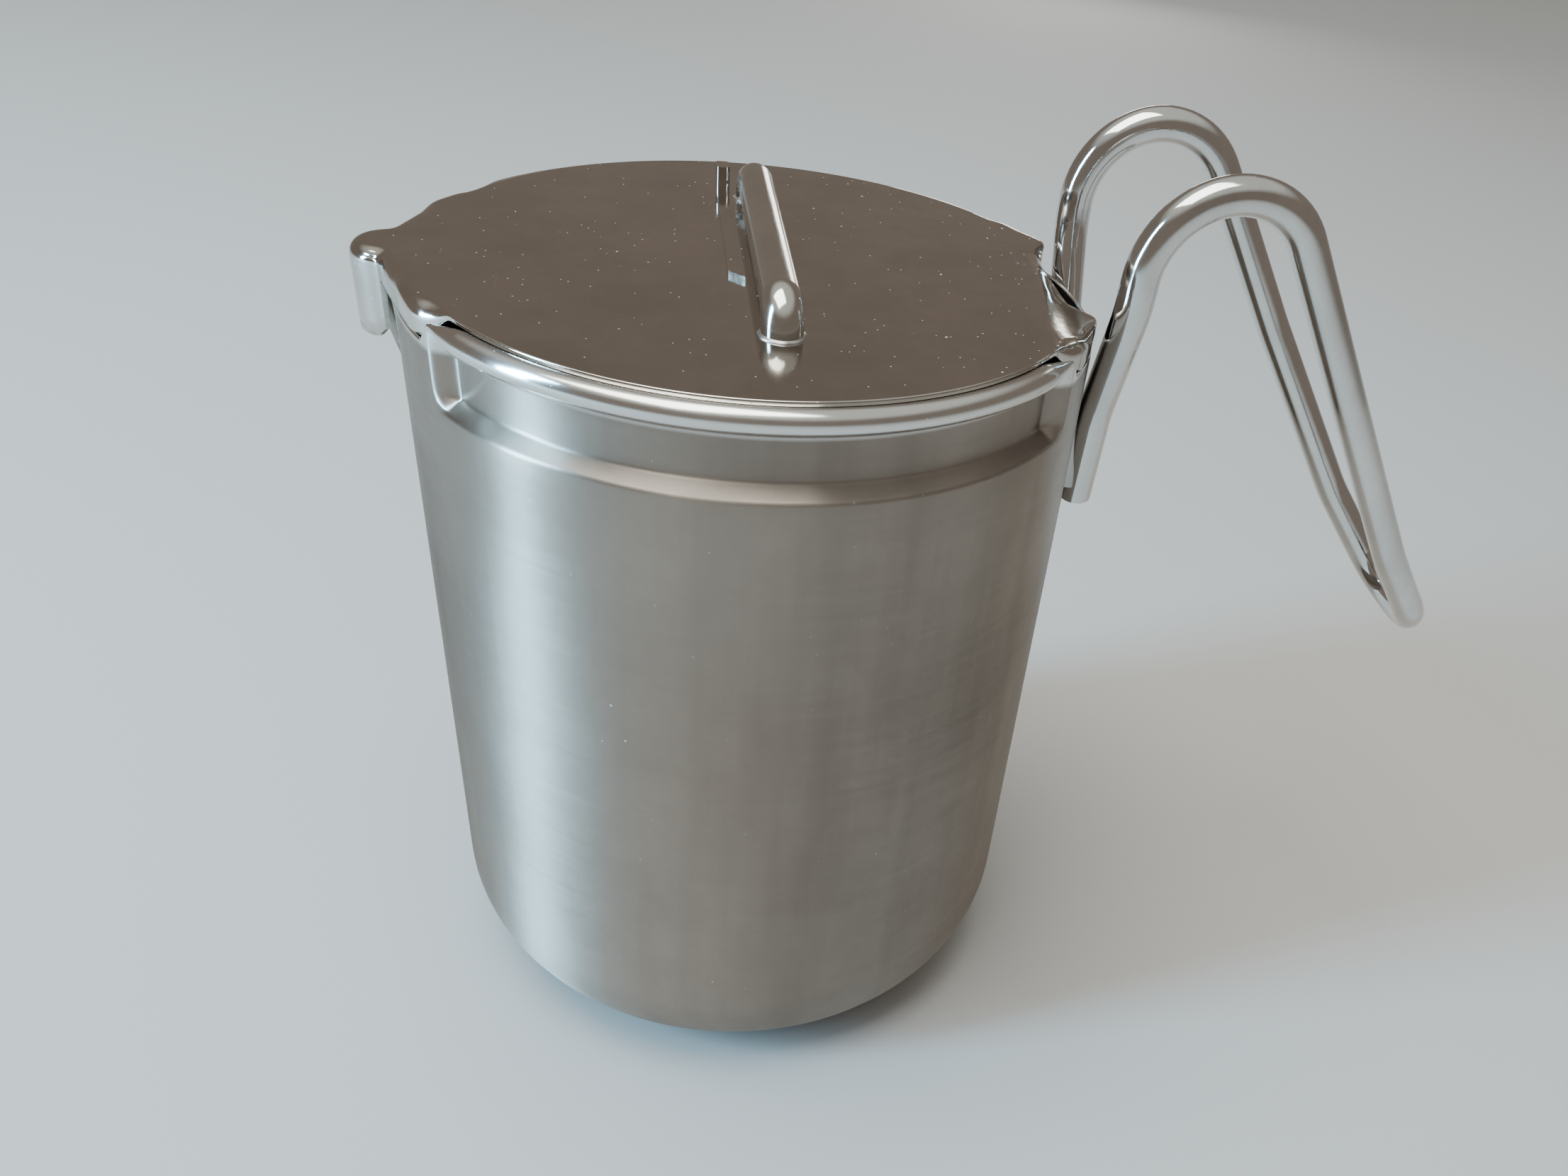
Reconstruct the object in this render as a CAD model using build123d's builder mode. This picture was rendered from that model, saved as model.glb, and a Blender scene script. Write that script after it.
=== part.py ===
"""Candle melting pot: a lidded steel pot with a pouring spout and a hooked rod handle.

Millimetres, +Z up.  The origin is the centre of the base, the handle is on +X and the spout on -X.
"""

from build123d import *
from math import cos, radians, sin, tan
import os

# --- driving dimensions -------------------------------------------------------------------------
rim_height = 146.0        # top of the rolled rim
wall_radius = 58.0        # outside of the straight wall
sheet = 0.8               # thickness of the drawn steel sheet
base_corner = 23.0        # outside radius between the wall and the base
gap = 0.2                 # clearance between the lid and the pot

# Neck and rolled rim: they run along the two long sides and stop short of the handle and the spout.
neck_radius = wall_radius - 2.8
shoulder_height = rim_height - 13.3
shoulder_rise = 1.6
roll_radius = 2.0
roll_circle = neck_radius + 1.1
handle_sector = 36.0      # half the angle left straight under the handle
spout_sector = 32.0       # half the angle left straight beside the spout
side_arc = 180.0 - handle_sector - spout_sector

# Lid.
lid_top = rim_height + 0.5
lid_radius = roll_circle - roll_radius - 0.3
lid_bend = 2.2
skirt_bottom = rim_height - 4.2
wall_top = skirt_bottom - gap
notch_floor = 50.7        # distance from the pot's axis to the straight floor of the notch
notch_corner = 5.0        # radius in the notch's corners
ear_angle = 18.4          # where each side of the notch meets the lid's outer edge

# Spout and the nose tab that hangs over it.
beak_centre = -58.3
nose_radius = 6.3
nose_bottom = rim_height - 13.4
beak_angle = 20.0         # half the angle over which the spout leaves the round wall
beak_wrap = 80.0          # half the angle of the rounded tip
spout_foot = rim_height - 21.0
lip_radius = nose_radius - sheet - 0.3

# Bent rod handle.
rod_radius = 3.15
foot_bottom = rim_height - 37.0
handle_top = rim_height + 21.7
loop_radius = 14.7
loop_half_width = 20.5
hook_tip = (143.8, 79.0)  # lowest point of the rod's centre line, as (x, z)

# Lid grip.
grip_radius = 3.25
grip_half_length = 35.5
grip_offset = 1.5         # distance of the grip towards the handle
grip_bend = 3.6
weld_height = 0.7
strip_width = 2.6         # flat strip that lies on the lid beside the grip
strip_near_end = -11.0
strip_far_end = 40.0
strip_tab = (4.0, 4.2)    # length and height of the tab at the strip's far end


def vertical_plane(angle):
    """A plane through the pot's axis, with its local x pointing outwards and its local y up."""
    across = (sin(radians(angle)), -cos(radians(angle)), 0)
    outwards = (cos(radians(angle)), sin(radians(angle)), 0)
    return Plane(origin=(0, 0, 0), x_dir=outwards, z_dir=across)


def on_circle(radius, angle):
    return (radius * cos(radians(angle)), radius * sin(radians(angle)))


def ring_sector(inner, outer, start, span):
    """The outline of part of a ring.  Called inside BuildLine."""
    end = start + span
    CenterArc((0, 0), outer, start, span)
    CenterArc((0, 0), inner, start, span)
    Line(on_circle(inner, start), on_circle(outer, start))
    Line(on_circle(inner, end), on_circle(outer, end))


def beak_outline(inner, outer, angle, tip_centre, tip_radius):
    """A pointed outline on the spout side, closed by an arc inside the wall.  Called inside BuildLine."""
    tip_x = tip_centre - tip_radius * cos(radians(beak_wrap))
    tip_y = tip_radius * sin(radians(beak_wrap))
    root_x, root_y = on_circle(outer, 180 - angle)
    inner_x, inner_y = on_circle(inner, 180 - angle)
    ThreePointArc((tip_x, tip_y), (tip_centre - tip_radius, 0), (tip_x, -tip_y))
    ThreePointArc((inner_x, inner_y), (-inner, 0), (inner_x, -inner_y))
    for side in (1, -1):
        Line((tip_x, side * tip_y), (root_x, side * root_y))
        Line((root_x, side * root_y), (inner_x, side * inner_y))


def export(part, label):
    part.label = label
    export_step(part, f"parts/{label}.step")


os.makedirs("parts", exist_ok=True)


# --- pot body -----------------------------------------------------------------------------------
def make_pot_body():
    inner_wall = wall_radius - sheet
    inner_neck = neck_radius - sheet
    inner_corner = base_corner - sheet
    flat = wall_radius - base_corner
    diagonal = sin(radians(45))
    with BuildPart() as body:
        # Drawn cup, up to the shoulder.
        with BuildSketch(Plane.XZ):
            with BuildLine():
                Line((0, 0), (flat, 0))
                ThreePointArc(
                    (flat, 0),
                    (flat + base_corner * diagonal, base_corner * (1 - diagonal)),
                    (wall_radius, base_corner),
                )
                Line((wall_radius, base_corner), (wall_radius, shoulder_height))
                Line((wall_radius, shoulder_height), (inner_wall, shoulder_height))
                Line((inner_wall, shoulder_height), (inner_wall, base_corner))
                ThreePointArc(
                    (inner_wall, base_corner),
                    (flat + inner_corner * diagonal, base_corner - inner_corner * diagonal),
                    (flat, sheet),
                )
                Line((flat, sheet), (0, sheet))
                Line((0, sheet), (0, 0))
            make_face()
        revolve(axis=Axis.Z)
        # Straight wall under the handle and beside the spout.
        for middle, half in ((0, handle_sector), (180, spout_sector)):
            with BuildSketch(Plane.XY.offset(shoulder_height - sheet)):
                with BuildLine():
                    ring_sector(inner_wall, wall_radius, middle - half, 2 * half)
                make_face()
            extrude(amount=wall_top - shoulder_height + sheet)
        # Shoulder, neck and rolled rim along each long side.
        roll_height = rim_height - roll_radius
        for start in (handle_sector, 180 + spout_sector):
            with BuildSketch(vertical_plane(start)):
                with BuildLine():
                    Polyline(
                        (wall_radius, shoulder_height - sheet),
                        (wall_radius, shoulder_height),
                        (neck_radius, shoulder_height + shoulder_rise),
                        (neck_radius, roll_height),
                        (inner_neck, roll_height),
                        (inner_neck, shoulder_height + shoulder_rise - sheet),
                        (inner_wall, shoulder_height - sheet),
                        close=True,
                    )
                make_face()
                with Locations((roll_circle, roll_height)):
                    Circle(roll_radius)
            revolve(axis=Axis.Z, revolution_arc=side_arc)
        # Sheet that closes the step where each end of the neck meets the straight wall.
        step_half = sheet / 2
        for angle in (handle_sector, -handle_sector, 180 - spout_sector, 180 + spout_sector):
            with BuildSketch(vertical_plane(angle)):
                with Locations(((inner_neck + wall_radius) / 2, (shoulder_height + wall_top) / 2)):
                    Rectangle(wall_radius - inner_neck, wall_top - shoulder_height)
            extrude(amount=step_half, both=True)
        with BuildSketch(Plane.XY.offset(shoulder_height - sheet)):
            Circle(wall_radius + 4)
            Circle(wall_radius, mode=Mode.SUBTRACT)
        extrude(amount=wall_top - shoulder_height + sheet - 2 * roll_radius, mode=Mode.SUBTRACT)
        # Spout pressed out of the wall.
        with BuildSketch(Plane.XY.offset(spout_foot)):
            with BuildLine():
                beak_outline(inner_wall + 0.1, inner_wall + 0.4, 2.0, -inner_wall - 0.15, 0.6)
            make_face()
        with BuildSketch(Plane.XY.offset(wall_top)):
            with BuildLine():
                beak_outline(inner_wall + 0.1, inner_wall + 0.4, beak_angle, beak_centre, lip_radius)
            make_face()
        loft()
        with BuildSketch(Plane.XY.offset(spout_foot + 3 * sheet)):
            with BuildLine():
                beak_outline(inner_wall - 4, inner_wall - 3, 2.0, -inner_wall + 1.2, 0.8)
            make_face()
        with BuildSketch(Plane.XY.offset(wall_top + sheet)):
            with BuildLine():
                beak_outline(
                    inner_wall - 4, inner_wall - 3, beak_angle - 1.5, beak_centre, lip_radius - sheet
                )
            make_face()
        loft(mode=Mode.SUBTRACT)
    export(body.part, "pot_body")
    return body.part


# --- pot handle ---------------------------------------------------------------------------------
def handle_points():
    """Corners of the near half of the rod's centre line, from the foot to the hook's tip."""
    foot_circle = wall_radius + rod_radius + 0.2
    tip_x, tip_z = hook_tip
    foot_x, foot_y = on_circle(foot_circle, -8.5)
    knee_x, knee_y = on_circle(foot_circle, -11.5)
    loop_x = wall_radius + 2.0
    return [
        (foot_x, foot_y, foot_bottom),
        (knee_x, knee_y, foot_bottom + 18),
        (loop_x, -loop_half_width, rim_height + 3),
        (loop_x, -loop_half_width, handle_top),
        (loop_x + 1.54 * loop_radius, -loop_half_width, handle_top),
        (loop_x + 45, -loop_half_width + 1.8, rim_height - 13),
        (tip_x - 16, -loop_half_width + 6.0, tip_z + 20),
        (tip_x, -9.8, tip_z),
    ]


def make_pot_handle():
    near = handle_points()
    far = [(x, -y, z) for x, y, z in reversed(near)]
    half_radii = [26, 22, loop_radius, loop_radius, 60, 40, 10.8]
    with BuildPart() as handle:
        with BuildLine() as route:
            FilletPolyline(*near, *far, radius=half_radii + half_radii[::-1])
        with BuildSketch(Plane(route.line @ 0, z_dir=route.line % 0)):
            Circle(rod_radius)
        sweep()
    export(handle.part, "pot_handle")
    return handle.part


def make_handle_welds(body, handle):
    """One weld bead fills the wedge between each foot of the handle and the wall."""
    for name, side in (("near", -1), ("far", 1)):
        angle = 10.0 * side
        with BuildPart() as weld:
            with Locations(Location((0, 0, foot_bottom + 9), (0, 0, angle))):
                with Locations((wall_radius + 0.9, 0, 0)):
                    Box(2.4, 4.6, 12)
            fillet(weld.edges().filter_by(Axis.Z), 0.6)
            add(body, mode=Mode.SUBTRACT)
            add(handle, mode=Mode.SUBTRACT)
            with BuildSketch(Plane.XY):
                Circle(wall_radius)
            extrude(amount=rim_height, mode=Mode.SUBTRACT)
        export(weld.part, f"handle_weld_{name}")


# --- lid ----------------------------------------------------------------------------------------
def turned_edge(edge, flat_length):
    """The section of a sheet that turns down at the given radius.  Called inside BuildLine."""
    diagonal = sin(radians(45))
    middle = lid_top - lid_bend
    inner_bend = lid_bend - sheet
    start = edge - lid_bend
    flat = start - flat_length
    inner = edge - sheet
    Line((flat, lid_top), (start, lid_top))
    ThreePointArc(
        (start, lid_top),
        (start + lid_bend * diagonal, middle + lid_bend * diagonal),
        (edge, middle),
    )
    Line((edge, middle), (edge, skirt_bottom))
    Line((edge, skirt_bottom), (inner, skirt_bottom))
    Line((inner, skirt_bottom), (inner, middle))
    ThreePointArc(
        (inner, middle),
        (start + inner_bend * diagonal, middle + inner_bend * diagonal),
        (start, lid_top - sheet),
    )
    Line((start, lid_top - sheet), (flat, lid_top - sheet))
    Line((flat, lid_top - sheet), (flat, lid_top))


def notch_outline():
    """The wedge that is cut out of the lid for the handle.  Called inside BuildLine."""
    far_radius = wall_radius + 12
    floor_y = notch_floor * tan(radians(ear_angle))
    far_x, far_y = on_circle(far_radius, ear_angle)
    FilletPolyline(
        (far_x, -far_y),
        (notch_floor, -floor_y),
        (notch_floor, floor_y),
        (far_x, far_y),
        radius=notch_corner,
    )
    Line((far_x, far_y), (far_x, -far_y))


def make_lid_plate():
    plate_edge = wall_radius - lid_bend
    with BuildPart() as lid:
        # Flat sheet, wider at both ends than along the rolled rim.
        with BuildSketch(Plane.XY.offset(lid_top - sheet)):
            Circle(lid_radius)
            for middle, half in ((0, handle_sector), (180, spout_sector)):
                with BuildLine():
                    ring_sector(lid_radius - 2, plate_edge, middle - half + 1, 2 * half - 2)
                make_face()
        extrude(amount=sheet)
        # Edges rolled down over both end sectors.
        for start, span in (
            (1 - handle_sector, 2 * handle_sector - 2),
            (181 - spout_sector, 2 * spout_sector - 2),
        ):
            with BuildSketch(vertical_plane(start)):
                with BuildLine():
                    turned_edge(wall_radius, 1.5)
                make_face()
            revolve(axis=Axis.Z, revolution_arc=span)
        # Notch for the handle, with a turned-down edge between two pointed ears.
        with BuildSketch(Plane.XY.offset(skirt_bottom)):
            with BuildLine():
                notch_outline()
            make_face()
            offset(amount=sheet, kind=Kind.ARC)
            with BuildLine():
                ring_sector(wall_radius, wall_radius + 20, -45, 90)
            make_face(mode=Mode.SUBTRACT)
        extrude(amount=lid_top - skirt_bottom)
        with BuildSketch(Plane.XY.offset(skirt_bottom)):
            with BuildLine():
                notch_outline()
            make_face()
        extrude(amount=lid_top - skirt_bottom, mode=Mode.SUBTRACT)
        # Beak over the spout.
        with BuildSketch(Plane.XY.offset(skirt_bottom)):
            with BuildLine():
                beak_outline(wall_radius - 4, wall_radius, beak_angle, beak_centre, nose_radius)
            make_face()
        extrude(amount=lid_top - skirt_bottom)
        with BuildSketch(Plane.XY.offset(skirt_bottom)):
            with BuildLine():
                beak_outline(
                    wall_radius - 6, wall_radius - sheet, beak_angle, beak_centre, nose_radius - sheet
                )
            make_face()
        extrude(amount=lid_top - sheet - skirt_bottom, mode=Mode.SUBTRACT)
        # Nose tab: half a tube that hangs down outside the spout's lip.
        with BuildSketch(Plane.XY.offset(nose_bottom)):
            with Locations((beak_centre, 0)):
                Circle(nose_radius)
                Circle(nose_radius - sheet, mode=Mode.SUBTRACT)
            with Locations((beak_centre + nose_radius * (1 - cos(radians(beak_wrap))), 0)):
                Rectangle(2 * nose_radius, 2 * nose_radius, mode=Mode.SUBTRACT)
        extrude(amount=lid_top - sheet - nose_bottom)
    export(lid.part, "lid_plate")
    return lid.part


def make_lid_grip():
    bar_height = lid_top + grip_radius + weld_height
    leg_y = grip_half_length - grip_radius
    with BuildPart() as grip:
        with BuildLine() as route:
            FilletPolyline(
                (grip_offset, -leg_y, lid_top + weld_height / 4),
                (grip_offset, -leg_y, bar_height),
                (grip_offset, leg_y, bar_height),
                (grip_offset, leg_y, lid_top + weld_height / 4),
                radius=grip_bend,
            )
        with BuildSketch(Plane(route.line @ 0, z_dir=route.line % 0)):
            Circle(grip_radius)
        sweep()
    export(grip.part, "lid_grip")
    return grip.part


def make_grip_strip():
    inner_edge = grip_offset - grip_radius - 0.9
    outer_edge = inner_edge - strip_width
    tab_length, tab_height = strip_tab
    with BuildPart() as strip:
        with BuildSketch(Plane.XY.offset(lid_top)):
            with BuildLine():
                Polyline(
                    (outer_edge, strip_near_end + strip_width),
                    (inner_edge, strip_near_end),
                    (inner_edge, strip_far_end),
                    (outer_edge, strip_far_end),
                    close=True,
                )
            make_face()
        extrude(amount=sheet)
        with BuildSketch(Plane.XY.offset(lid_top)):
            with Locations(((inner_edge + outer_edge) / 2, strip_far_end - tab_length / 2)):
                RectangleRounded(strip_width, tab_length, 0.8)
        extrude(amount=tab_height)
    export(strip.part, "grip_strip")


def make_grip_welds(grip):
    """A low bead around the foot of each end of the grip."""
    leg_y = grip_half_length - grip_radius
    for name, side in (("near", -1), ("far", 1)):
        with BuildPart() as weld:
            with BuildSketch(Plane.XY.offset(lid_top)):
                with Locations((grip_offset, side * leg_y)):
                    Circle(grip_radius + 0.7)
            extrude(amount=weld_height, taper=30)
            add(grip, mode=Mode.SUBTRACT)
        export(weld.part, f"grip_weld_{name}")


pot_body = make_pot_body()
pot_handle = make_pot_handle()
make_handle_welds(pot_body, pot_handle)
make_lid_plate()
lid_grip = make_lid_grip()
make_grip_strip()
make_grip_welds(lid_grip)
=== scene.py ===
"""Looks of the candle melting pot: a polished steel pot, its lid and its bent rod handle."""

import math

import bmesh
import bpy
import numpy as np
from mathutils import Matrix, Vector


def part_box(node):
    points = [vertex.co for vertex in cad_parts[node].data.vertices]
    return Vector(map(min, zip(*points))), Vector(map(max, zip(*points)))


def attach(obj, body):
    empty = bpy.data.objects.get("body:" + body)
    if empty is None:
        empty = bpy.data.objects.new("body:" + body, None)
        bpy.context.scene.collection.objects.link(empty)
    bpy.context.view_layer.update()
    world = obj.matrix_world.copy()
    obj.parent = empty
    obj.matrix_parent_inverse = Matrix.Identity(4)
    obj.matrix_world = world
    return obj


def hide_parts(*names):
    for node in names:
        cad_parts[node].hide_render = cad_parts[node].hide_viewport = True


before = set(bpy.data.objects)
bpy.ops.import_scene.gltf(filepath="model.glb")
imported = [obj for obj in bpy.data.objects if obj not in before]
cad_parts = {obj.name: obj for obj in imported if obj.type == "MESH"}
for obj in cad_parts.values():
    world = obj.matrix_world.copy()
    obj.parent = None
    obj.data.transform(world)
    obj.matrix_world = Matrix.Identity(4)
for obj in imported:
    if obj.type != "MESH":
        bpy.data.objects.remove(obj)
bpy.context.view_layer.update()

MM = 0.001

# --- sizes read from the frame ------------------------------------------------------------------
lid_low, lid_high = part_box("lid_plate")
grip_low, grip_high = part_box("lid_grip")

rim_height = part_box("pot_body")[1].z
lid_top = lid_high.z
lid_reach = -lid_low.x
nose_bottom = lid_low.z
grip_radius = (grip_high.x - grip_low.x) / 2

# --- pot: one sheet, with a neck and a rolled rim on its two long sides --------------------------
SHEET = 0.8 * MM
WALL = 58 * MM
CORNER = 23 * MM
NECK = WALL - 2.8 * MM
SHOULDER = rim_height - 13.3 * MM
SHOULDER_ROUND = 1.0 * MM
NECK_FOOT = SHOULDER + 1.9 * MM
NECK_FILLET = 0.9 * MM
NECK_STRAIGHT = 2 * MM
SECTION_FOOT = SHOULDER - 3 * MM
ROLL = 1.98 * MM
ROLL_CIRCLE = NECK + 1.1 * MM
ROLL_START = 0.55
THROAT = 1.5 * MM
SKIRT_BOTTOM = rim_height - 4.2 * MM
SEAM = 0.2 * MM
WALL_TOP = SKIRT_BOTTOM - SEAM
WALL_RISE = 3.5 * MM
AXIS_HOLE = 0.5 * MM

# --- where the rolled rim begins and ends, in angles from the handle's side ----------------------
HANDLE_SECTOR = math.radians(36)
SPOUT_SECTOR = math.radians(148)
TAPER = math.radians(6)

# --- changes of shape near those ends: angles from an end, above zero on the rolled side ---------
NECK_FADE = (math.radians(-1.2), math.radians(3.0))
ROLL_FADE = (0.0, math.radians(7))
WALL_FADE = (-TAPER * 0.65, 0.0)
LID_FADE = (-TAPER * 1.15, math.radians(1.5))
SKIRT_FADE = (-TAPER * 0.65, math.radians(2))

# --- spout of the pot and nose of the lid --------------------------------------------------------
BEAK_CENTRE = 58.3 * MM
NOSE_RADIUS = lid_reach - BEAK_CENTRE
LIP_RADIUS = NOSE_RADIUS - SHEET - 1.2 * MM
BEAK_ANGLE = math.radians(20)
BEAK_WRAP = math.radians(80)
SPOUT_FOOT = rim_height - 21 * MM
SPOUT_NARROWEST = 0.30
SPOUT_CURVE = 0.85

# --- lid: one sheet with bent edges and a notch by the handle ------------------------------------
LID_RADIUS = ROLL_CIRCLE - 1.15 * MM
SIDE_END = SPOUT_SECTOR + TAPER * 1.2
NOSE_START = SPOUT_SECTOR + TAPER * 1.25
LID_BEND = 2.4 * MM
FLAT_EDGE_BEND = 0.2 * MM
ROOT_BEND_LOSS = 1.0 * MM
ROOT_ZONE = math.radians(6)
EAR_BEND = 1.1 * MM
EAR_REACH = 8 * MM
EAR_ANGLE = math.radians(18.4)
NOTCH_FLOOR = 52.8 * MM
NOTCH_BEND = 3.6 * MM
TAB_CORNER = 1.6 * MM
TAB_CORNER_FROM = 0.86
OUTLINE_SPACING = 0.4 * MM

# Shares of the way in from the outline, closer together where the sheet bends.
BEND_INSETS = (0.0, 0.0015, 0.004, 0.008, 0.013, 0.019, 0.026, 0.034, 0.043, 0.055, 0.075)

# --- weld beads at the grip's feet: (out, up) in mm, and ripples as (mm, number around) ----------
BEAD_PROFILE = ((-0.3, -0.25), (0.55, -0.2), (0.45, 0.1), (0.25, 0.3), (0.0, 0.42), (-0.3, 0.45))
BEAD_RIPPLES = ((0.06, 7), (0.04, 11))


# --- small helpers ------------------------------------------------------------------------------
def smooth_step(low, high, value):
    """0 at low and 1 at high, with soft ends."""
    t = np.clip((value - low) / (high - low), 0, 1)
    return t * t * (3 - 2 * t)


def arc(centre, radius, start, end, count):
    """Points along an arc, as pairs."""
    angles = np.linspace(start, end, count)
    return [(centre[0] + radius * math.cos(a), centre[1] + radius * math.sin(a)) for a in angles]


def around_axis(radii, angles):
    """Points at the given distances from the pot's axis, as pairs."""
    return [(r * math.cos(a), r * math.sin(a)) for r, a in zip(radii, angles)]


def resample(points, spacing):
    """Points at even spacing along a line through pairs."""
    points = np.array(points, float)
    steps = np.linalg.norm(np.diff(points, axis=0), axis=1)
    travelled = np.concatenate([[0], np.cumsum(steps)])
    count = int(round(travelled[-1] / spacing)) + 1
    at = np.linspace(0, travelled[-1], count)
    return np.column_stack([np.interp(at, travelled, points[:, axis]) for axis in (0, 1)])


def past_sector(turn):
    """Angle from the nearest end of the rolled rim: above zero on the rolled side."""
    return np.minimum(turn - HANDLE_SECTOR, SPOUT_SECTOR - turn)


def beak_reach(angle, tip_radius):
    """Distance from the pot's axis to the spout's outline, at an angle from the spout's middle."""
    angle = np.abs(angle)
    tip_x = BEAK_CENTRE + tip_radius * math.cos(BEAK_WRAP)
    tip_y = tip_radius * math.sin(BEAK_WRAP)
    run_x = WALL * math.cos(BEAK_ANGLE) - tip_x
    run_y = WALL * math.sin(BEAK_ANGLE) - tip_y
    inside = tip_radius**2 - (BEAK_CENTRE * np.sin(angle)) ** 2
    round_tip = BEAK_CENTRE * np.cos(angle) + np.sqrt(np.maximum(inside, 0))
    cross = run_x * np.sin(angle) - run_y * np.cos(angle)
    flank = (tip_y * run_x - tip_x * run_y) / np.minimum(cross, -1e-9)
    reach = np.where(angle < math.atan2(tip_y, tip_x), round_tip, flank)
    return np.where(angle < BEAK_ANGLE, np.maximum(reach, WALL), WALL)


def ring_faces(rows, columns):
    """Quads between closed rings of vertices, and one face over the first and the last ring."""
    faces = []
    for row in range(rows - 1):
        low = row * columns
        high = low + columns
        for column in range(columns):
            right = (column + 1) % columns
            faces.append((low + column, low + right, high + right, high + column))
    faces.append(tuple(range(columns))[::-1])
    faces.append(tuple(range((rows - 1) * columns, rows * columns)))
    return faces


def make_piece(name, rings, body, material, node):
    """A closed, smooth-shaded piece through rings of points, shown in place of one CAD node."""
    vertices = np.concatenate(rings).tolist()
    mesh = bpy.data.meshes.new(name)
    mesh.from_pydata(vertices, [], ring_faces(len(rings), len(rings[0])))
    work = bmesh.new()
    work.from_mesh(mesh)
    bmesh.ops.remove_doubles(work, verts=work.verts, dist=1e-6)
    bmesh.ops.recalc_face_normals(work, faces=work.faces)
    work.to_mesh(mesh)
    work.free()
    mesh.polygons.foreach_set("use_smooth", [True] * len(mesh.polygons))
    mesh.materials.append(material)
    piece = bpy.data.objects.new(name, mesh)
    bpy.context.collection.objects.link(piece)
    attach(piece, body)
    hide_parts(node)


# --- procedural materials -----------------------------------------------------------------------
class Nodes:
    """Short calls for building one material's node tree."""

    def __init__(self, name):
        self.material = bpy.data.materials.new(name)
        self.material.use_nodes = True
        self.tree = self.material.node_tree
        self.tree.nodes.clear()

    def add(self, kind, inputs, **settings):
        """A node whose inputs are links or constants."""
        node = self.tree.nodes.new(kind)
        for key, value in settings.items():
            setattr(node, key, value)
        for key, value in inputs.items():
            if isinstance(value, bpy.types.NodeSocket):
                self.tree.links.new(value, node.inputs[key])
            else:
                node.inputs[key].default_value = value
        return node

    def finish(self, inputs):
        """Ends the tree with one shader and gives the material."""
        shader = self.add("ShaderNodeBsdfPrincipled", inputs)
        self.add("ShaderNodeOutputMaterial", {"Surface": shader.outputs[0]})
        return self.material

    def place(self):
        return self.add("ShaderNodeTexCoord", {}).outputs["Object"]

    def height(self):
        return self.add("ShaderNodeSeparateXYZ", {"Vector": self.place()}).outputs["Z"]

    def mapped(self, scale, turn=(0, 0, 0)):
        inputs = {"Vector": self.place(), "Rotation": turn, "Scale": scale}
        return self.add("ShaderNodeMapping", inputs).outputs["Vector"]

    def noise(self, scale, stretch=(1, 1, 1), detail=4.0, roughness=0.55):
        inputs = {
            "Vector": self.mapped(stretch),
            "Scale": scale,
            "Detail": detail,
            "Roughness": roughness,
        }
        return self.add("ShaderNodeTexNoise", inputs).outputs["Fac"]

    def spread(self, value, low, high, out_low=0.0, out_high=1.0):
        inputs = {"Value": value, 1: low, 2: high, 3: out_low, 4: out_high}
        return self.add("ShaderNodeMapRange", inputs).outputs["Result"]

    def maths(self, operation, first, second):
        return self.add("ShaderNodeMath", {0: first, 1: second}, operation=operation).outputs[0]

    def plus(self, first, second):
        return self.maths("ADD", first, second)

    def times(self, first, second):
        return self.maths("MULTIPLY", first, second)

    def larger(self, first, second):
        return self.maths("MAXIMUM", first, second)

    def mix_colour(self, factor, first, second):
        inputs = {0: factor, 6: first, 7: second}
        return self.add("ShaderNodeMix", inputs, data_type="RGBA").outputs[2]

    def bump(self, height, depth, strength, below=None):
        """A normal raised by height over depth metres, on top of the normal below."""
        inputs = {"Height": height, "Distance": depth, "Strength": strength}
        if below:
            inputs["Normal"] = below
        return self.add("ShaderNodeBump", inputs).outputs["Normal"]

    def marks(self, place, scale, edge, channel, share):
        """A mark in the middle of a share of scattered cells: 1 on the mark and 0 elsewhere."""
        cells = self.add("ShaderNodeTexVoronoi", {"Vector": place, "Scale": scale})
        mark = self.spread(cells.outputs["Distance"], *edge)
        colour = cells.outputs["Color"]
        chosen = self.add("ShaderNodeSeparateColor", {"Color": colour}).outputs[channel]
        return self.times(mark, self.maths("GREATER_THAN", chosen, 1 - share))

    def specks(self, scale, share):
        """Small round dots scattered over the surface."""
        return self.marks(self.mapped((1, 1, 1)), scale, (0.13, 0.07), 0, share)

    def scratches(self, scale, share, turn):
        """Fine straight scratches that run one way."""
        return self.marks(self.mapped((1, 0.035, 1), turn), scale, (0.07, 0.02), 1, share)


def shaded(colour, share):
    """The colour made darker, with its alpha."""
    return tuple(c * share for c in colour) + (1,)


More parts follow.
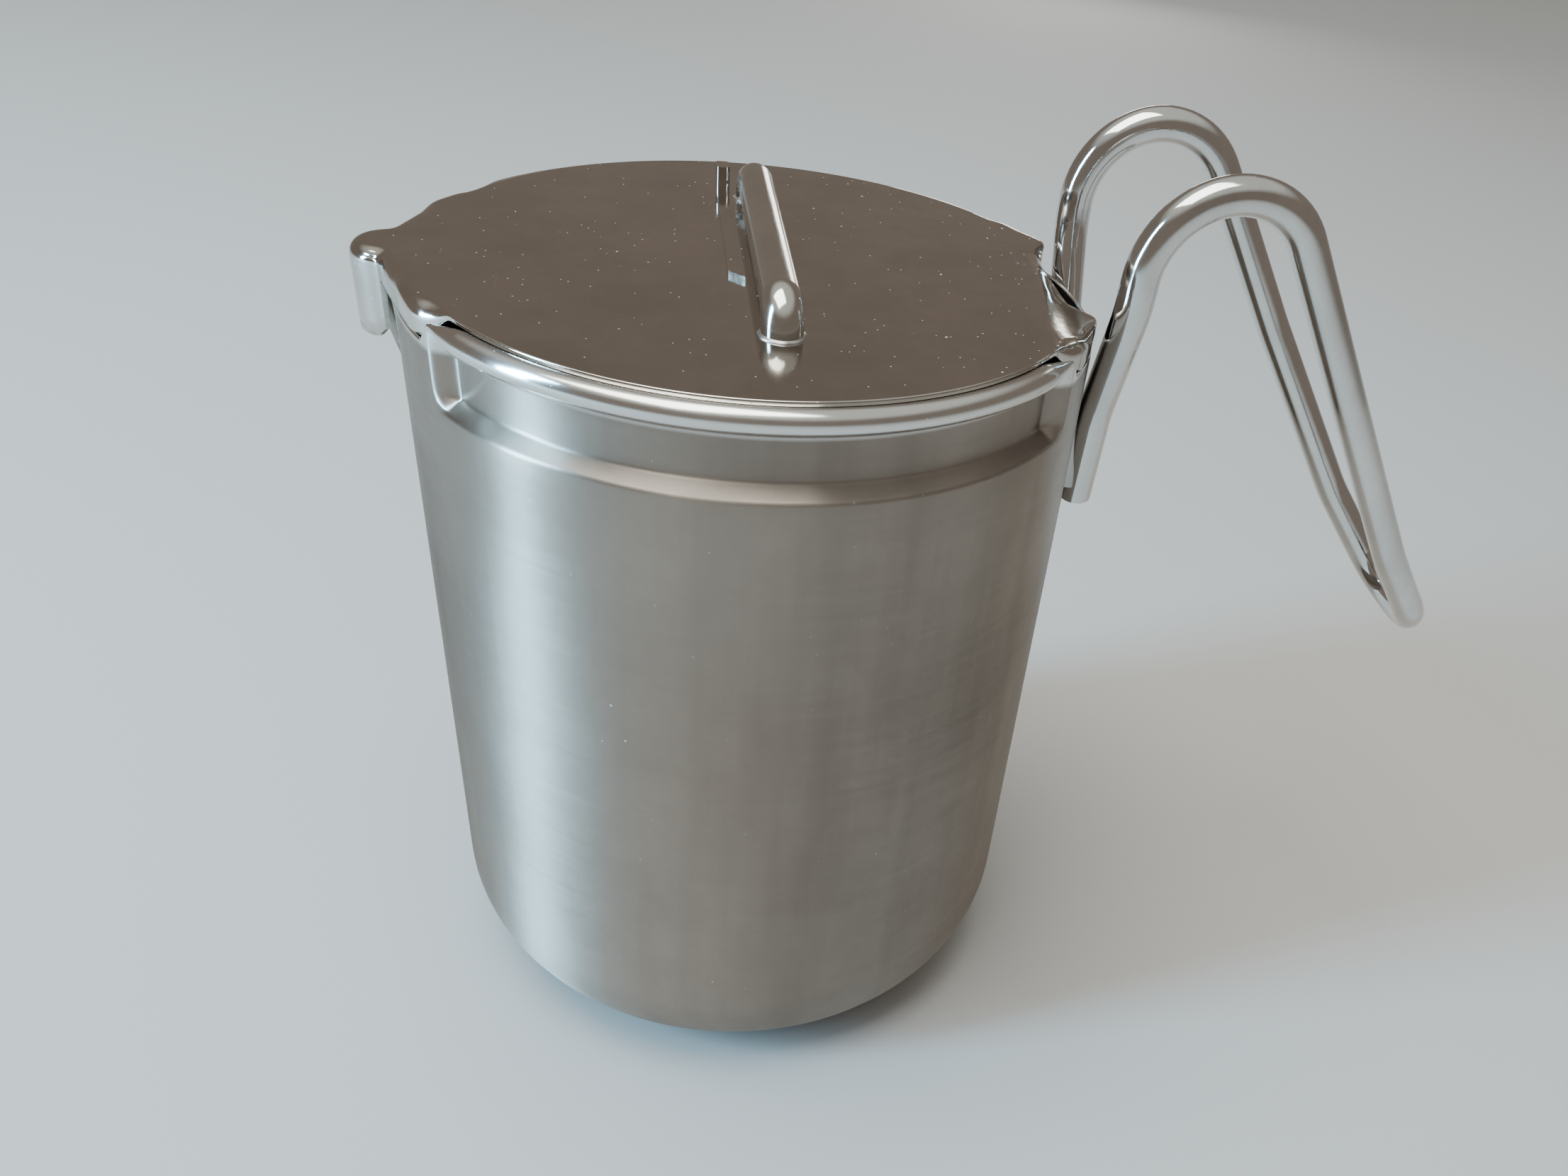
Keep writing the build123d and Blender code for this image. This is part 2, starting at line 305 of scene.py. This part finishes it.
def steel(name, colour, roughness, stretch, depth, dust, worn=0.0, brushed=0.0, polished=None):
    """Stainless steel with brushing lines, hazy patches, hairline scratches and dust.

    roughness holds the smoothest and the haziest value. stretch is that of the brushing lines, and
    depth is theirs in metres. brushed, from 0 to 1, is how far highlights stretch upright, as on a
    wall brushed round its axis. polished is the height by which the steel has grown smoother, below
    a rim band that is smoother still and painted a light steel grey as a painted highlight.
    """
    n = Nodes(name)
    haze = n.noise(26, detail=5, roughness=0.6)
    lines = n.noise(900, stretch, detail=3)
    grime = n.noise(60, detail=6, roughness=0.7)
    streaks = n.noise(70, (1.0, 1.0, 0.07), detail=4, roughness=0.65)
    dots = n.larger(n.specks(900, dust * 0.4), n.specks(480, dust * 0.12))
    scuffs = n.scratches(260, 0.10 + worn, (0.0, 0.0, 0.6))
    crossing = n.scratches(190, 0.08 + worn, (0.9, 0.3, -0.5))
    scratched = n.larger(scuffs, crossing)

    rough = n.spread(haze, 0.35, 0.7, *roughness)
    rough = n.plus(rough, n.spread(lines, 0.3, 0.7, -0.02, 0.03))
    rough = n.plus(rough, n.spread(streaks, 0.3, 0.7, -0.02, 0.03))
    tone = n.mix_colour(n.spread(grime, 0.35, 0.75), shaded(colour, 1), shaded(colour, 0.86))
    tone = n.mix_colour(n.spread(streaks, 0.45, 0.75), tone, shaded(colour, 0.82))
    if polished:
        height = n.height()
        # The rim band is smoother, and its light steel grey colour is a painted highlight on the
        # upward-facing rim.
        rim = n.spread(height, rim_height - 5.5 * MM, rim_height - 4.5 * MM)
        rough = n.times(rough, n.spread(height, polished - 30 * MM, polished, 1.0, 0.74))
        rough = n.times(rough, n.spread(rim, 0.0, 1.0, 1.0, 0.45))
        tone = n.mix_colour(rim, tone, (0.66, 0.645, 0.62, 1))
    rough = n.plus(rough, n.times(scratched, 0.10))
    rough = n.plus(rough, n.times(dots, 0.5))
    tone = n.mix_colour(n.times(dots, 0.5), tone, (0.70, 0.68, 0.64, 1))

    relief = n.bump(lines, depth, 0.35)
    relief = n.bump(scratched, -2 * depth, 0.5, relief)
    relief = n.bump(haze, 0.25 * MM, 0.35, relief)
    inputs = {
        "Base Color": tone,
        "Metallic": n.maths("SUBTRACT", 1.0, n.times(dots, 0.6)),
        "Roughness": rough,
        "Normal": relief,
    }
    if brushed:
        around = n.add("ShaderNodeTangent", {}, direction_type="RADIAL", axis="Z")
        inputs["Tangent"] = around.outputs[0]
        inputs["Anisotropic"] = brushed
        inputs["Anisotropic Rotation"] = 0.25
    return n.finish(inputs)


def make_wall_steel():
    """Satin steel brushed round the wall, with a polished neck and rim; its dark warm colour is a
    painted reflection of dim brown surroundings, and the rim band a painted highlight.
    """
    return steel(
        "wall_steel",
        # painted reflection: a dark warm colour standing in for the dim brown surroundings the wall
        # mirrors
        colour=(0.33, 0.285, 0.245),
        roughness=(0.43, 0.52),
        stretch=(0.04, 0.04, 1.0),
        depth=0.005 * MM,
        dust=0.10,
        brushed=0.93,
        polished=rim_height * 0.85,
    )


def make_lid_steel():
    """Mirror steel with fine scratches and dust."""
    return steel(
        "lid_steel",
        colour=(0.56, 0.52, 0.475),
        roughness=(0.04, 0.10),
        stretch=(1.0, 0.05, 1.0),
        depth=0.004 * MM,
        dust=0.35,
        worn=0.05,
    )


def make_rod_steel():
    """Polished rod with faint upright lines."""
    return steel(
        "rod_steel",
        colour=(0.66, 0.65, 0.63),
        roughness=(0.06, 0.14),
        stretch=(1.0, 1.0, 0.1),
        depth=0.006 * MM,
        dust=0.03,
    )


def make_grip_steel():
    """Polished bar with faint lines along it, a little warmer than the rod."""
    return steel(
        "grip_steel",
        colour=(0.64, 0.62, 0.58),
        roughness=(0.08, 0.16),
        stretch=(1.0, 0.1, 1.0),
        depth=0.006 * MM,
        dust=0.03,
    )


def make_weld_steel():
    """Dull, uneven weld metal."""
    return steel(
        "weld_steel",
        colour=(0.45, 0.43, 0.41),
        roughness=(0.25, 0.45),
        stretch=(1.0, 1.0, 1.0),
        depth=0.06 * MM,
        dust=0.05,
    )


def make_floor_paint():
    """Pale matt paint with faint clouds."""
    n = Nodes("floor_paint")
    tone = n.mix_colour(n.noise(3), (0.44, 0.425, 0.41, 1), (0.47, 0.455, 0.44, 1))
    return n.finish({"Base Color": tone, "Roughness": 0.8})


# --- pot body -----------------------------------------------------------------------------------
def pot_angles():
    """Angles around the pot, closer together near the spout and at the ends of the rolled rim."""
    fine = [np.arange(start, end, 0.5) for start, end in ((30, 42), (138, 222), (318, 330))]
    coarse = np.arange(0, 360, 2.0)
    return np.unique(np.round(np.radians(np.concatenate([*fine, coarse])), 6))


def lower_outside():
    """From the middle of the base, out and up to the foot of the upper section."""
    flat = WALL - CORNER
    points = [(r, 0) for r in np.linspace(AXIS_HOLE, flat, 8)]
    points += arc((flat, CORNER), CORNER, -math.pi / 2, 0, 16)[1:]
    points += [(WALL, z) for z in np.linspace(CORNER, SECTION_FOOT, 44)[1:-1]]
    return np.array(points)


def lower_inside():
    """From the foot of the upper section, down and in to the middle of the floor."""
    flat = WALL - CORNER
    points = [(WALL - SHEET, z) for z in np.linspace(SECTION_FOOT, CORNER, 44)[1:]]
    points += arc((flat, CORNER), CORNER - SHEET, 0, -math.pi / 2, 12)[1:]
    points += [(r, SHEET) for r in np.linspace(flat, AXIS_HOLE, 6)[1:]]
    return np.array(points)


def necked_section():
    """The shoulder and the neck, the rolled rim and the way back down inside, as three lists."""
    shoulder = (WALL - SHOULDER_ROUND, SHOULDER - SHOULDER_ROUND)
    neck_top = NECK_FOOT + NECK_STRAIGHT
    outer = [(WALL, SECTION_FOOT), (WALL, SHOULDER - SHOULDER_ROUND)]
    outer += arc(shoulder, SHOULDER_ROUND, 0, math.radians(70), 6)[1:]
    fillet = (NECK + NECK_FILLET, NECK_FOOT)
    outer += arc(fillet, NECK_FILLET, math.radians(-110), math.radians(-180), 6)
    across = NECK + THROAT - ROLL_CIRCLE
    down = math.sqrt((ROLL + THROAT) ** 2 - across**2)
    middle = (NECK + THROAT, rim_height - ROLL - down)
    start = math.atan2(-down, across)
    outer += [(NECK, neck_top)]
    outer += arc(middle, THROAT, math.pi, start + math.pi, 9)
    roll = arc((ROLL_CIRCLE, rim_height - ROLL), ROLL, start, math.pi, 24)
    inner_neck = NECK - SHEET
    inner_shoulder = (WALL - SHEET - 0.6 * MM, SHOULDER - 1.2 * MM)
    inner = [(inner_neck, z) for z in (WALL_TOP, neck_top, NECK_FOOT)]
    inner += [inner_shoulder, (WALL - SHEET, SECTION_FOOT)]
    return outer, roll, inner


def straight_section(outer, roll, inner, top):
    """The same number of points along a plain wall with a rounded top edge."""
    crown = top - SHEET / 2
    outside = [(WALL, z) for z in np.linspace(SECTION_FOOT, crown, len(outer))]
    edge = arc((WALL - SHEET / 2, crown), SHEET / 2, 0, math.pi, len(roll))
    below_edge = crown - 0.5 * MM
    inside = [(WALL - SHEET, z) for z in np.linspace(below_edge, SECTION_FOOT, len(inner))]
    return np.array(outside + edge + inside)


def upper_section(turn):
    """Section over the lower wall: straight by the handle and the spout, necked in between."""
    outer, roll, inner = necked_section()
    necked = np.array(outer + roll + inner)
    rolled = slice(len(outer), len(outer) + len(roll))
    roll_root = np.array([ROLL_CIRCLE + ROLL * 0.5, rim_height - ROLL * 0.9])
    along = past_sector(turn)
    neck = smooth_step(*NECK_FADE, along)
    curl = smooth_step(*ROLL_FADE, along)
    rise = smooth_step(*WALL_FADE, along)
    straight = straight_section(outer, roll, inner, WALL_TOP + WALL_RISE * rise)
    share = ROLL_START + (1 - ROLL_START) * curl
    necked[rolled] = roll_root + (necked[rolled] - roll_root) * share
    return straight * (1 - neck) + necked * neck


def spout_push(turn, heights):
    """How far the spout is pressed out of the wall, growing from its foot to the wall's top."""
    height = np.clip((heights - SPOUT_FOOT) / (WALL_TOP - SPOUT_FOOT), 0, 1)
    width = SPOUT_NARROWEST + (1 - SPOUT_NARROWEST) * height
    bulge = beak_reach((math.pi - turn) / width, LIP_RADIUS) - WALL
    return bulge * height**SPOUT_CURVE


def make_pot_shell(material):
    """The pot, as sections around its axis."""
    below = lower_outside()
    back = lower_inside()
    sections = []
    for angle in pot_angles():
        turn = abs((angle + math.pi) % (2 * math.pi) - math.pi)
        section = np.concatenate([below, upper_section(turn), back])
        reach = section[:, 0] + spout_push(turn, section[:, 1])
        sections.append(
            np.column_stack([reach * math.cos(angle), reach * math.sin(angle), section[:, 1]])
        )
    rings = np.array(sections).transpose(1, 0, 2)
    make_piece("pot_shell", rings, "pot", material, "pot_body")


# --- lid ----------------------------------------------------------------------------------------
def ear_tip():
    """The corner between the notch and the lid's round edge."""
    return WALL * math.cos(EAR_ANGLE), WALL * math.sin(EAR_ANGLE)


def lid_outline():
    """The lid's edge from above: the notch, an ear, the long side and the nose, then mirrored."""
    ear_x, ear_y = ear_tip()
    across = np.linspace(0, 1, 60)
    half = [(NOTCH_FLOOR + (ear_x - NOTCH_FLOOR) * share**4, ear_y * share) for share in across]
    side = np.linspace(EAR_ANGLE, SIDE_END, 400)
    inward = smooth_step(*LID_FADE, past_sector(side))
    half += around_axis(WALL - (WALL - LID_RADIUS) * inward, side)
    nose = np.linspace(NOSE_START, math.pi, 120)
    half += around_axis(beak_reach(math.pi - nose, NOSE_RADIUS), nose)
    half = resample(half, OUTLINE_SPACING)
    mirrored = half[1:-1][::-1] * np.array([1, -1])
    outline = np.concatenate([half, mirrored])
    for _ in range(5):
        outline = (np.roll(outline, 1, 0) + 2 * outline + np.roll(outline, -1, 0)) / 4
    return outline


def edge_bends(outline, on_rim):
    """Radius of the bend at each point of the outline."""
    turn = np.abs(np.arctan2(outline[:, 1], outline[:, 0]))
    bend = LID_BEND * (1 - on_rim) + FLAT_EDGE_BEND * on_rim
    bend = np.where(turn < EAR_ANGLE, NOTCH_BEND, bend)
    root = smooth_step(ROOT_ZONE, 0, np.abs(turn - math.pi + BEAK_ANGLE))
    bend = np.maximum(bend - ROOT_BEND_LOSS * root, FLAT_EDGE_BEND)
    ear_x, ear_y = ear_tip()
    to_ear = np.hypot(outline[:, 0] - ear_x, np.abs(outline[:, 1]) - ear_y)
    to_ear = np.maximum(to_ear, EAR_REACH * on_rim)
    return EAR_BEND + (bend - EAR_BEND) * smooth_step(0.5 * MM, EAR_REACH, to_ear)


def skirt_bottoms(outline, on_rim):
    """Height of the skirt's lower edge: lowest on the nose, and no skirt on the long sides."""
    skirt = SKIRT_BOTTOM * (1 - on_rim) + (lid_top - SHEET) * on_rim
    on_nose = outline[:, 0] < -BEAK_CENTRE - NOSE_RADIUS * math.cos(BEAK_WRAP)
    to_side = np.abs(outline[:, 1]) / NOSE_RADIUS
    tab_bottom = nose_bottom + TAB_CORNER * smooth_step(TAB_CORNER_FROM, 1.0, to_side)
    return np.where(on_nose, tab_bottom, skirt)


def top_rings(outline, bend):
    """The lid's upper face from its middle outwards, bent down along the outline."""
    insets = np.concatenate([BEND_INSETS, np.linspace(0.10, 0.96, 26)])
    rings = []
    for share in (1 - insets)[::-1]:
        points = outline * share
        offsets = points[:, None, :] - outline[None, :, :]
        gaps = np.hypot(offsets[:, :, 0], offsets[:, :, 1])
        nearest = gaps.argmin(1)
        local = bend[nearest]
        inset = np.clip(local - gaps.min(1), 0, None)
        drop = local - np.sqrt(np.maximum(local**2 - inset**2, 0))
        rings.append(np.column_stack([points, lid_top - drop]))
    return rings


def flat_ring(points, height):
    """Pairs as points at one height."""
    return np.column_stack([points, np.full(len(points), height)])


def make_lid_sheet(material):
    """The lid: its upper face, its skirt and the same way back underneath."""
    outline = lid_outline()
    turn = np.abs(np.arctan2(outline[:, 1], outline[:, 0]))
    on_rim = smooth_step(*SKIRT_FADE, past_sector(turn))
    bend = edge_bends(outline, on_rim)
    skirt = skirt_bottoms(outline, on_rim)
    rings = top_rings(outline, bend)
    edge = rings[-1][:, 2]
    for share in np.linspace(0, 1, 6)[1:]:
        rings.append(np.column_stack([outline, edge * (1 - share) + skirt * share]))

    underside = lid_top - SHEET
    outward = outline / np.hypot(outline[:, 0], outline[:, 1])[:, None]
    inner = outline - outward * SHEET
    for share in (0.0, 0.5, 1.0):
        height = skirt * (1 - share) + (underside - bend * 0.6) * share
        height = np.minimum(height, underside)
        rings.append(np.column_stack([inner, np.maximum(height, skirt)]))
    bend_foot = outline - outward * (bend + SHEET)[:, None]
    rings += [flat_ring(bend_foot * share, underside) for share in (1.0, 0.5, 0.02)]
    make_piece("lid_sheet", rings, "lid", material, "lid_plate")


def make_grip_bead(name, node, material):
    """A thin, slightly uneven bead of weld metal around one foot of the grip."""
    low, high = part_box(node)
    middle = (low + high) / 2
    turns = np.radians(np.arange(0, 360, 6))
    (coarse, coarse_count), (fine, fine_count) = BEAD_RIPPLES
    rings = []
    for out, up in BEAD_PROFILE:
        ripple = coarse * np.sin(coarse_count * turns + out) + fine * np.sin(fine_count * turns)
        reach = grip_radius + (out + ripple * (out > 0)) * MM
        points = np.column_stack(
            [middle.x + reach * np.cos(turns), middle.y + reach * np.sin(turns)]
        )
        rings.append(flat_ring(points, lid_top + up * MM))
    make_piece(name, rings, "lid", material, node)


# --- CAD nodes that keep their shape ------------------------------------------------------------
def dress(node, material):
    """Gives a CAD node its material."""
    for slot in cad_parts[node].material_slots:
        slot.material = material


# --- floor, light and camera --------------------------------------------------------------------
def make_floor():
    half = 6.0
    corners = [(-half, -half, 0), (half, -half, 0), (half, half, 0), (-half, half, 0)]
    mesh = bpy.data.meshes.new("floor")
    mesh.from_pydata(corners, [], [(0, 1, 2, 3)])
    mesh.materials.append(make_floor_paint())
    floor = bpy.data.objects.new("floor", mesh)
    bpy.context.collection.objects.link(floor)


def make_room():
    """A dim warm room under a bright soft ceiling."""
    world = bpy.data.worlds.new("studio")
    world.use_nodes = True
    tree = world.node_tree
    place = tree.nodes.new("ShaderNodeTexCoord")
    parts = tree.nodes.new("ShaderNodeSeparateXYZ")
    ramp = tree.nodes.new("ShaderNodeValToRGB")
    tree.links.new(place.outputs["Generated"], parts.inputs[0])
    tree.links.new(parts.outputs["Z"], ramp.inputs["Fac"])
    tree.links.new(ramp.outputs["Color"], tree.nodes["Background"].inputs["Color"])
    ramp.color_ramp.interpolation = "EASE"
    walls, ceiling = ramp.color_ramp.elements
    walls.position = 0.50
    walls.color = (0.24, 0.205, 0.175, 1)
    ceiling.position = 0.80
    ceiling.color = (0.72, 0.74, 0.70, 1)
    bpy.context.scene.world = world


def area_light(name, azimuth, elevation, distance, size, power, colour):
    """A soft rectangular light that faces the pot's middle from the given direction."""
    data = bpy.data.lights.new(name, "AREA")
    data.shape = "RECTANGLE"
    data.size, data.size_y = size
    data.energy = power
    data.color = colour
    light = bpy.data.objects.new(name, data)
    bpy.context.collection.objects.link(light)
    a, e = math.radians(azimuth), math.radians(elevation)
    away = Vector((math.cos(a) * math.cos(e), math.sin(a) * math.cos(e), math.sin(e)))
    light.location = Vector((0, 0, rim_height / 2)) + away * distance
    light.rotation_euler = away.to_track_quat("Z", "Y").to_euler()


def make_lights():
    """A cool window on the spout's side, a softbox overhead and a low card behind the pot."""
    area_light("window", 192, 20, 1.2, (0.22, 0.9), 40, (0.38, 0.72, 1.0))
    area_light("ceiling", 200, 78, 1.3, (1.0, 0.9), 22, (0.97, 1.0, 0.96))
    area_light("far_card", 73, 7, 1.4, (0.25, 0.2), 0.8, (1.0, 0.99, 0.92))


def make_camera():
    """Stands close to the pot, in front and above, and looks down on the lid."""
    azimuth, pitch, roll = map(math.radians, (14.5, 38.94, 8.23))
    place = Vector((-0.0175, -0.2190, 0.2214))
    data = bpy.data.cameras.new("camera")
    data.sensor_width = 36.0
    data.lens = 29.45
    data.shift_x = -0.083
    data.shift_y = 0.103
    data.clip_start = 0.01
    ahead = math.cos(pitch)
    forward = Vector((math.sin(azimuth) * ahead, math.cos(azimuth) * ahead, -math.sin(pitch)))
    level = Vector((math.cos(azimuth), -math.sin(azimuth), 0))
    upright = level.cross(forward)
    right = level * math.cos(roll) + upright * math.sin(roll)
    up = upright * math.cos(roll) - level * math.sin(roll)
    turned = Matrix((right, up, -forward)).transposed().to_4x4()
    camera = bpy.data.objects.new("camera", data)
    camera.matrix_world = Matrix.Translation(place) @ turned
    bpy.context.collection.objects.link(camera)
    bpy.context.scene.camera = camera


# --- the whole scene ----------------------------------------------------------------------------
wall_steel = make_wall_steel()
lid_steel = make_lid_steel()
rod_steel = make_rod_steel()
grip_steel = make_grip_steel()
weld_steel = make_weld_steel()

dress("pot_handle", rod_steel)
dress("handle_weld_near", weld_steel)
dress("handle_weld_far", weld_steel)
dress("lid_grip", grip_steel)
dress("grip_strip", lid_steel)

make_grip_bead("grip_bead_near", "grip_weld_near", weld_steel)
make_grip_bead("grip_bead_far", "grip_weld_far", weld_steel)
make_pot_shell(wall_steel)
make_lid_sheet(lid_steel)

make_floor()
make_room()
make_lights()
make_camera()
